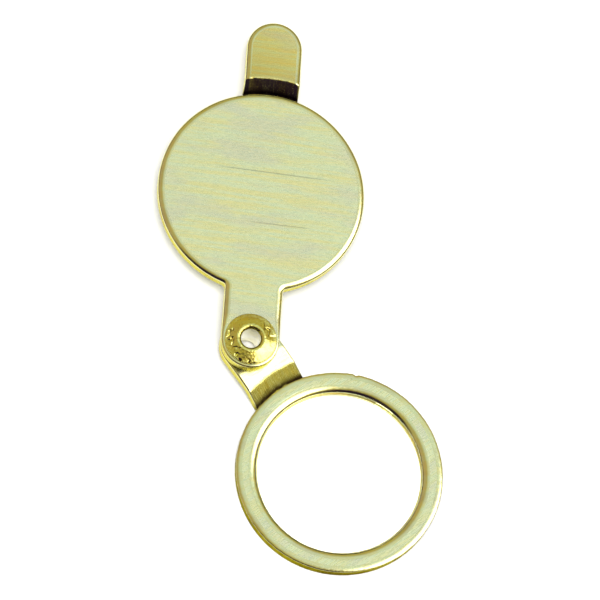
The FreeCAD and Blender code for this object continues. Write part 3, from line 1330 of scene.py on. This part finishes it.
@dataclass
class PivotRivet:
    """Hollow rivet. Its front is spread over the cover and carries the setting tool's marks."""

    skin_brass: bpy.types.Material
    # Brass for the bore, painted almost white: painted light that brightens the inside of the hole.
    bore_brass_painted_light: bpy.types.Material
    bore: float = 1.2 * MM
    barrel: float = 1.6 * MM
    head: float = 2.6 * MM
    head_height: float = 0.5 * MM
    flange: float = 3.2 * MM
    flange_edge: float = 0.26 * MM
    crown_height: float = 0.7 * MM
    crown_foot: tuple[float, float] = (2.75 * MM, 0.10 * MM)
    crown_top: tuple[float, float] = (1.75 * MM, 0.01 * MM)
    crown_round: float = 0.5 * MM
    back_mouth_round: float = 0.25 * MM
    front_mouth_round: float = 0.42 * MM
    head_round: float = 0.7
    flange_round: float = 0.12 * MM
    grain_depth: float = 0.014 * MM
    grain_length: float = 0.3 * MM
    squiggle_length: float = 0.72 * MM
    squiggle_width: float = 0.22
    marks_from: float = 0.1 * MM
    least_metal: float = 0.05 * MM
    segments: int = 480
    spacing: float = 0.040 * MM
    nick: ToolMark = ToolMark(236.0, 2.74 * MM, 0.17 * MM, 0.19 * MM, 0.26 * MM)
    rough_patches: tuple[ToolMark, ...] = (
        ToolMark(180.0, 2.45 * MM, 0.50 * MM, 0.95 * MM, 0.20 * MM),
        ToolMark(30.0, 2.55 * MM, 0.48 * MM, 0.85 * MM, 0.20 * MM),
        ToolMark(212.0, 2.00 * MM, 0.50 * MM, 0.60 * MM, 0.08 * MM),
        ToolMark(262.0, 3.06 * MM, 0.20 * MM, 1.40 * MM, 0.22 * MM))

    def marks(self, x: np.ndarray, y: np.ndarray) -> np.ndarray:
        """Depth of the setting tool's marks: squiggles in patches, and one deep nick.

        Args:
            x: places along X.
            y: places along Y.

        Returns:
            The depths.
        """
        patches = sum(mark.depth_at(x, y) for mark in self.rough_patches)
        wander = ripples(x, y, self.squiggle_length, 15.0)
        return patches * np.exp(-(wander / self.squiggle_width) ** 2) + self.nick.depth_at(x, y)

    def build(self) -> bpy.types.Object:
        """Builds the rivet in its packed box.

        Returns:
            The finished piece, on its body.
        """
        low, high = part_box("pivot_rivet")
        cover_front = high.z - self.crown_height
        washer_back = low.z + self.head_height
        edge = cover_front + self.flange_edge
        section = rounded_section([
            (self.bore, low.z, self.back_mouth_round),
            (self.head, low.z, self.head_height * self.head_round),
            (self.head, washer_back),
            (self.barrel, washer_back),
            (self.barrel, cover_front),
            (self.flange, cover_front),
            (self.flange, edge, self.flange_round),
            (self.crown_foot[0], edge + self.crown_foot[1], self.crown_round),
            (self.crown_top[0], high.z - self.crown_top[1], self.crown_round),
            (self.bore, high.z, self.front_mouth_round)], self.spacing)
        angles = np.linspace(0.0, 2.0 * math.pi, self.segments, endpoint=False)
        skin = Skinned()
        rows = []
        for r, z in section:
            plan = round_plan(angles, r)
            x, y = plan[:, 0], plan[:, 1]
            heights = np.full(len(angles), z)
            if z > cover_front + self.marks_from and r > self.bore + 0.01 * MM:
                mottle = ripples(x, y, self.grain_length, 11.0)
                sunk = self.marks(x, y) + self.grain_depth * (1.0 + mottle)
                heights = np.maximum(z - sunk, cover_front + self.least_metal)
            rows.append((skin.loop(plan, heights), r))
        for i, (row, r) in enumerate(rows):
            after, r_after = rows[(i + 1) % len(rows)]
            inner = max(r, r_after) < self.bore + 0.02 * MM
            skin.band(row, after, Skin.ROLL if inner else Skin.FACE)
        made = smooth_shaded(skin.object("rivet_body", [self.skin_brass, self.bore_brass_painted_light]), 40.0)
        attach(made, "cover")
        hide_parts("pivot_rivet")
        return made


@dataclass
class Washers:
    """The two washers on the rivet's barrel, as packed, with their own finish."""

    material: bpy.types.Material
    names: tuple[str, ...] = ("pivot_friction_washer", "pivot_back_washer")

    def dress(self) -> None:
        """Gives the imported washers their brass."""
        for name in self.names:
            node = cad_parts[name]
            for slot in node.material_slots:
                slot.material = self.material
            log.info("dressed %s", name)


# ---------------------------------------------------------------- studio


@dataclass(frozen=True)
class DomePatch:
    """Soft-edged patch of the light dome. Angles are in degrees; tilt is from straight up."""

    azimuth: float
    tilt: float
    inner: float
    outer: float
    light: Rgb

    def direction(self) -> Vector:
        """Unit vector towards the patch's middle."""
        a, t = math.radians(self.azimuth), math.radians(self.tilt)
        return Vector((math.sin(t) * math.cos(a), math.sin(t) * math.sin(a), math.cos(t)))


@dataclass
class Studio:
    """White board, light dome, overhead lamp and camera."""

    sizes: PackedSizes
    surround: Rgb = (0.50, 0.44, 0.18)
    seen_backdrop: Rgb = (0.96, 0.96, 0.95)
    patches: tuple[DomePatch, ...] = (
        DomePatch(165.0, 62.0, 18.0, 48.0, (0.50, 0.41, 0.29)),
        DomePatch(255.0, 62.0, 34.0, 50.0, (0.020, 0.010, 0.042)),
        DomePatch(0.0, 180.0, 97.0, 120.0, (0.02, 0.015, 0.01)),
        DomePatch(52.0, 22.8, 12.0, 32.0, (0.71, 0.815, 0.93)),
        DomePatch(355.0, 33.1, 18.0, 24.0, (3.4, 3.4, 3.8)),
    )
    board_half: float = 1.5
    lamp_place: tuple[float, float, float] = (-0.06, -0.17, 0.90)
    lamp_size: float = 0.42
    lamp_power: float = 9.0
    board_light: Rgb = (0.45, 0.45, 0.45)
    camera_tilt: float = math.radians(19.90)
    camera_azimuth: float = math.radians(251.21)
    camera_roll: float = math.radians(4.13)
    camera_distance: float = 1.0
    lens_length: float = 493.0
    aim: tuple[float, float, float] = (5.87 * MM, 6.27 * MM, 0.0)

    def board(self) -> None:
        """Lays the board just under the part's lowest face."""
        skin = Skinned()
        h = self.board_half
        corners = np.array([(-h, -h), (h, -h), (h, h), (-h, h)])
        numbers = skin.loop(corners, self.sizes.ring_back - 0.01 * MM)
        skin.faces.append(tuple(int(n) for n in numbers))
        skin.skins.append(0)
        floor = skin.object("floor_board", [PaperFinish().material()])
        if floor.data.polygons[0].normal.z < 0.0:
            floor.data.flip_normals()

    def dome(self) -> None:
        """Lights the part from a dome of soft patches.

        Mirrored rays and rays through the glass see the patches. Matt surfaces get one even light, and the
        camera sees a plain pale backdrop.
        """
        world = bpy.data.worlds.new("studio_dome")
        bpy.context.scene.world = world
        world.use_nodes = True
        nodes = Nodes(world.node_tree)
        towards = nodes.add("TexCoord").outputs["Generated"]
        light: object = self.surround
        for patch in self.patches:
            facing = nodes.add("VectorMath", {0: towards, 1: patch.direction()}, operation="DOT_PRODUCT")
            share = nodes.spread(facing.outputs["Value"], math.cos(math.radians(patch.outer)),
                                 math.cos(math.radians(patch.inner)), 0.0, 1.0)
            light = nodes.blend(share, light, patch.light)
        rays = nodes.add("LightPath").outputs
        colour = nodes.blend(rays["Is Diffuse Ray"], light, self.board_light)
        colour = nodes.blend(rays["Is Camera Ray"], colour, self.seen_backdrop)
        background = nodes.add("Background", {"Color": colour, "Strength": 1.0})
        nodes.add("OutputWorld", {"Surface": background.outputs[0]})

    def lamp(self) -> None:
        """Hangs a lamp near the camera's side. It whitens the board and isn't mirrored in the metal."""
        data = bpy.data.lights.new("overhead", "AREA")
        data.shape = "DISK"
        data.size = self.lamp_size
        data.energy = self.lamp_power
        lamp = in_scene("overhead", data)
        lamp.location = self.lamp_place
        lamp.rotation_euler = Vector(self.lamp_place).to_track_quat("Z", "Y").to_euler()
        lamp.visible_camera = False
        lamp.visible_glossy = False

    def camera(self) -> None:
        """Sets the camera above the part, a little to its lower left."""
        t, a = self.camera_tilt, self.camera_azimuth
        towards = Vector((math.sin(t) * math.cos(a), math.sin(t) * math.sin(a), math.cos(t)))
        right = (-towards).cross(Vector((0.0, 1.0, 0.0))).normalized()
        up = right.cross(-towards)
        c, s = math.cos(self.camera_roll), math.sin(self.camera_roll)
        right, up = right * c + up * s, up * c - right * s
        data = bpy.data.cameras.new("camera")
        data.sensor_width = 36.0
        data.lens = self.lens_length
        data.clip_start = 0.05
        data.clip_end = 10.0
        camera = in_scene("camera", data)
        turn = Matrix((right, up, towards)).transposed().to_4x4()
        camera.matrix_world = Matrix.Translation(Vector(self.aim) + towards * self.camera_distance) @ turn
        bpy.context.scene.camera = camera

    def build(self) -> None:
        """Sets up everything round the part."""
        self.board()
        self.dome()
        self.lamp()
        self.camera()
        bpy.context.scene.view_settings.view_transform = "Standard"


# ---------------------------------------------------------------- putting it together


ARM_TURN = math.radians(40.7)
LONG_SCRATCH = Scratch((1.4 * MM, 21.6 * MM), 16.0 * MM, math.radians(-1.3))
FAINT_SCRATCH = Scratch((2.6 * MM, 15.0 * MM), 9.0 * MM, math.radians(-0.6), 0.09 * MM)
SHEET_FACE = BrassFinish("brushed_sheet", (0.79, 0.82, 0.45), (0.87, 0.79, 0.34), (0.76, 0.73, 0.45),
                         Grain.BRUSHED, (0.20, 0.36), 0.0026 * MM, brushing=math.radians(-1.0),
                         scratches=(LONG_SCRATCH, FAINT_SCRATCH))
TAB_FACE = BrassFinish("brushed_tab", (0.76, 0.70, 0.24), (0.83, 0.64, 0.16), (0.71, 0.61, 0.27),
                       Grain.BRUSHED, (0.20, 0.36), 0.0026 * MM)
HOLDER_FACE = BrassFinish("brushed_holder", (0.79, 0.82, 0.45), (0.84, 0.79, 0.36), (0.75, 0.73, 0.45),
                          Grain.BRUSHED, (0.20, 0.36), 0.0020 * MM, brushing=ARM_TURN)
ROLLED_EDGE = BrassFinish("rolled_edge", (0.80, 0.80, 0.40), (0.84, 0.76, 0.32), (0.72, 0.66, 0.34),
                          Grain.TURNED, (0.12, 0.22), 0.0016 * MM)
CUT_WALL = BrassFinish("cut_wall", (0.68, 0.64, 0.20), (0.64, 0.60, 0.14), (0.46, 0.38, 0.09),
                       Grain.SHEARED, (0.18, 0.42), 0.0060 * MM, pits=0.5, grazing=(0.88, 0.82, 0.40))
TORN_WALL = BrassFinish("torn_wall", (0.30, 0.27, 0.03), (0.44, 0.40, 0.07), (0.10, 0.07, 0.02),
                        Grain.SHEARED, (0.26, 0.50), 0.0160 * MM, pits=1.1, grazing=(0.60, 0.52, 0.12))
TAB_BEND = BrassFinish("drawn_tab_bend", (0.80, 0.76, 0.32), (0.82, 0.70, 0.22), (0.58, 0.48, 0.20),
                       Grain.DRAWN, (0.14, 0.28), 0.0020 * MM)
ARM_BEND = BrassFinish("drawn_arm_bend", (0.78, 0.76, 0.26), (0.84, 0.74, 0.18), (0.52, 0.42, 0.14),
                       Grain.DRAWN, (0.16, 0.30), 0.0080 * MM, brushing=ARM_TURN)
RIVET_SKIN = BrassFinish("set_rivet", (0.80, 0.76, 0.22), (0.84, 0.72, 0.15), (0.68, 0.56, 0.16),
                         Grain.TURNED, (0.10, 0.26), 0.0060 * MM, pits=0.6)
# The bore's burnished brass is painted almost white, a painted light that brightens the inside of the
# rivet's hole.
RIVET_BORE_PAINTED_LIGHT = BrassFinish("burnished_bore_painted_light", (0.98, 0.97, 0.80), (0.98, 0.95, 0.70), (0.94, 0.90, 0.62),
                         Grain.TURNED, (0.06, 0.14), 0.0008 * MM)
WASHER_SKIN = BrassFinish("washer_brass", (0.78, 0.68, 0.30), (0.80, 0.64, 0.22), (0.58, 0.46, 0.20),
                          Grain.TURNED, (0.20, 0.36), 0.0020 * MM)
SPRING_SKIN = BrassFinish("spring_brass", (0.82, 0.74, 0.32), (0.82, 0.68, 0.22), (0.62, 0.50, 0.20),
                          Grain.TURNED, (0.14, 0.26), 0.0010 * MM)
CLEAR_GLASS = GlassFinish("clear_glass", (0.985, 0.995, 0.985), (0.0, 0.015))
GROUND_GLASS = GlassFinish("ground_rim", (0.90, 0.92, 0.86), (0.45, 0.60))


def main() -> None:
    """Builds the hand lens and the studio."""
    logging.basicConfig(level=logging.INFO, format="%(name)s: %(message)s")
    sizes = PackedSizes.read()
    roll, wall, torn = (finish.material() for finish in (ROLLED_EDGE, CUT_WALL, TORN_WALL))
    builders = (
        CoverPlate(sizes, [SHEET_FACE.material(), roll, wall, TAB_BEND.material(), torn,
                           TAB_FACE.material()]),
        LensHolder(sizes, [HOLDER_FACE.material(), roll, wall, ARM_BEND.material(), torn]),
        LensGlass(sizes, CLEAR_GLASS.material(), GROUND_GLASS.material()),
        SnapRing(sizes, SPRING_SKIN.material()),
        PivotRivet(RIVET_SKIN.material(), RIVET_BORE_PAINTED_LIGHT.material()),
    )
    for builder in builders:
        piece = builder.build()
        log.info("built %s: %d faces", piece.name, len(piece.data.polygons))
    Washers(WASHER_SKIN.material()).dress()
    Studio(sizes).build()


if __name__ == "__main__":
    main()
